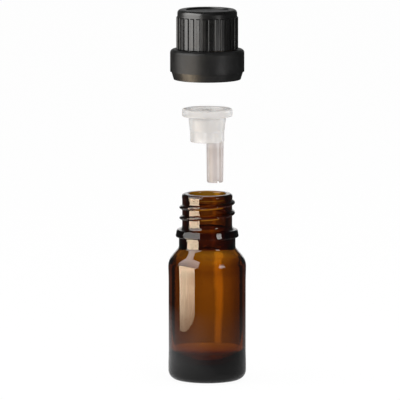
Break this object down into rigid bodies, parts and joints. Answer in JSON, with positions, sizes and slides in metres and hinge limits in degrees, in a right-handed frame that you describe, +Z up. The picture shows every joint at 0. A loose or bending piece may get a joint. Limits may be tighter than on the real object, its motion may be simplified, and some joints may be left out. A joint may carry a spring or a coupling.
{
  "type": "dropper bottle",
  "caption": "Amber glass bottle with screw neck, divided-tube dropper insert and ribbed tamper-evident screw cap, shown taken apart along one axis.",
  "frame": {"origin": "middle of the bottle's base, on the surface it stands on", "axes": "+Z up along the common axis of bottle, dropper insert and cap; +X towards the insert's off-centre tube"},
  "size_m": [0.025, 0.0248, 0.1192],
  "materials": {
    "amber_glass": "polished",
    "natural_polyethylene": "translucent satin",
    "black_plastic": "satin"
  },
  "bodies": {
    "bottle": {"glass_bottle": "amber_glass"},
    "insert": {"dropper_insert": "natural_polyethylene"},
    "ring": {"tamper_ring": "black_plastic", "breakaway_bridges": "black_plastic"},
    "cap": {"screw_cap": "black_plastic"}
  },
  "joints": [
    {"name": "insert_lift", "type": "slide", "parent": "bottle", "child": "insert", "axis": [0, 0, 1], "range_m": [-0.0249, 0]},
    {"name": "closure_lift", "type": "slide", "parent": "insert", "child": "ring", "axis": [0, 0, 1], "range_m": [-0.03015, 0]},
    {"name": "cap_turn", "type": "hinge", "parent": "ring", "child": "cap", "pos_m": [0, 0, 0.106], "axis": [0, 0, 1], "range_deg": [-3241, 1]}
  ],
  "couplings": [
    {"joint": "cap_turn", "follows": "closure_lift", "rad_per_m": 1875.6}
  ]
}
